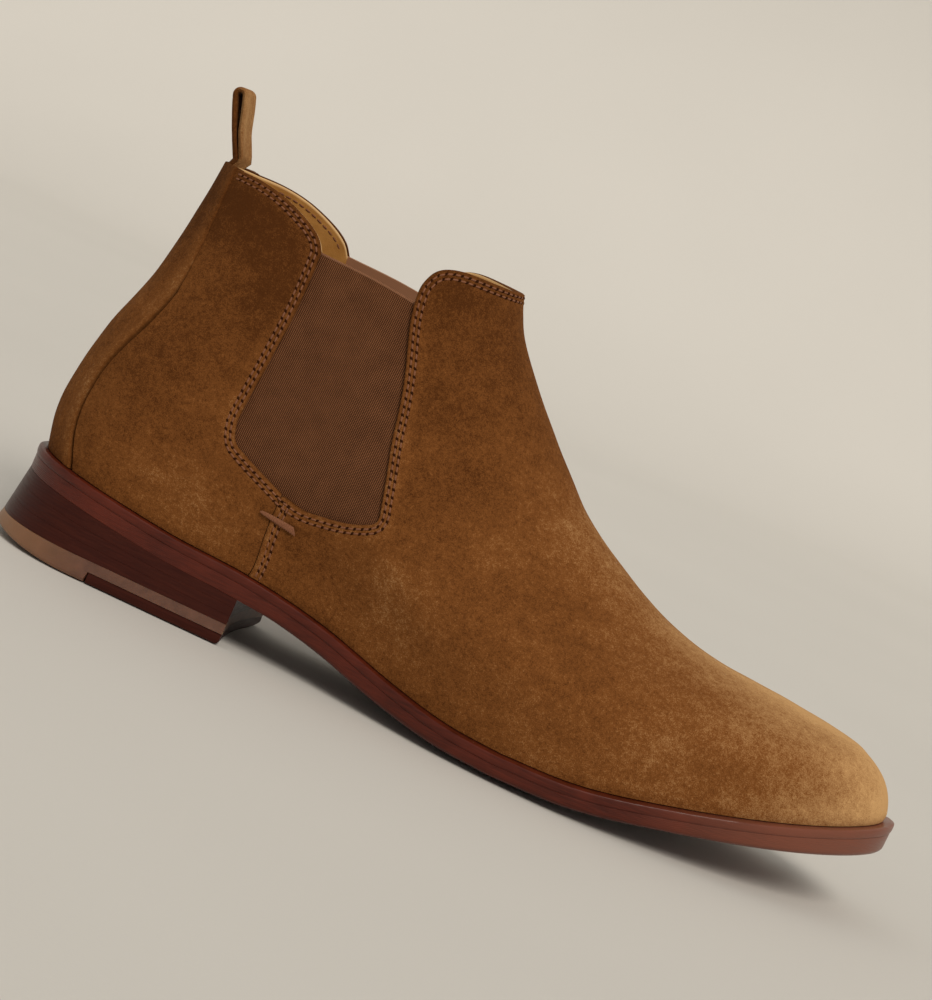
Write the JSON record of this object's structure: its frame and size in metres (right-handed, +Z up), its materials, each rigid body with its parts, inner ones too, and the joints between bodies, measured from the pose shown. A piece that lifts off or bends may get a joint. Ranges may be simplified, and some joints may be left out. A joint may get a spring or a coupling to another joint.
{
  "type": "chelsea boot",
  "caption": "Ankle boot in suede for the right foot, with elastic side gussets, a pull tab, a welted leather sole and a stacked heel.",
  "frame": {"origin": "middle of the flat tread under the heel, on the ground", "axes": "+X from the heel to the toe, +Y towards the inner (medial) side of this right boot, +Z up"},
  "size_m": [0.3065, 0.1077, 0.163],
  "materials": {
    "suede": "napped brown suede",
    "elastic": "ribbed brown elastic webbing",
    "lining_leather": "smooth tan lining leather",
    "leatherboard": "fibrous board",
    "cork": "granular cork",
    "foam": "soft foam",
    "sole_leather": "burnished and waxed edge",
    "heel_leather": "stacked leather, satin",
    "rubber": "amber brown rubber, matt",
    "steel": "spring steel strip",
    "brass": "worn nail heads",
    "thread": "waxed polyester thread"
  },
  "bodies": {
    "boot": {"vamp": "suede", "quarter_lateral": "suede", "quarter_medial": "suede", "back_strip": "suede", "gusset_lateral": "elastic", "gusset_medial": "elastic", "toe_puff": "leatherboard", "heel_counter": "leatherboard", "vamp_lining": "lining_leather", "quarter_lining": "lining_leather", "bar_tack_lateral": "thread", "bar_tack_medial": "thread", "pull_tab_root": "suede", "welt": "sole_leather", "outsole": "sole_leather", "cork_filler": "cork", "insole": "leatherboard", "heel_pad": "foam", "sock_liner": "lining_leather", "shank": "steel", "heel_nail_1": "brass", "heel_nail_2": "brass", "heel_nail_3": "brass", "heel_nail_4": "brass", "heel_nail_5": "brass", "heel_nail_6": "brass", "rubber_top_lift": "rubber", "leather_top_insert": "heel_leather", "heel_lift_3": "heel_leather", "heel_lift_2": "heel_leather", "heel_lift_1": "heel_leather"},
    "pull_tab": {"pull_tab": "suede"}
  },
  "joints": [
    {"name": "pull_tab_flop", "type": "hinge", "parent": "boot", "child": "pull_tab", "pos_m": [-0.04022, 0, 0.14185], "axis": [0, 1, 0], "range_deg": [-60, 85], "stiffness_Nm_per_rad": 0.01}
  ]
}
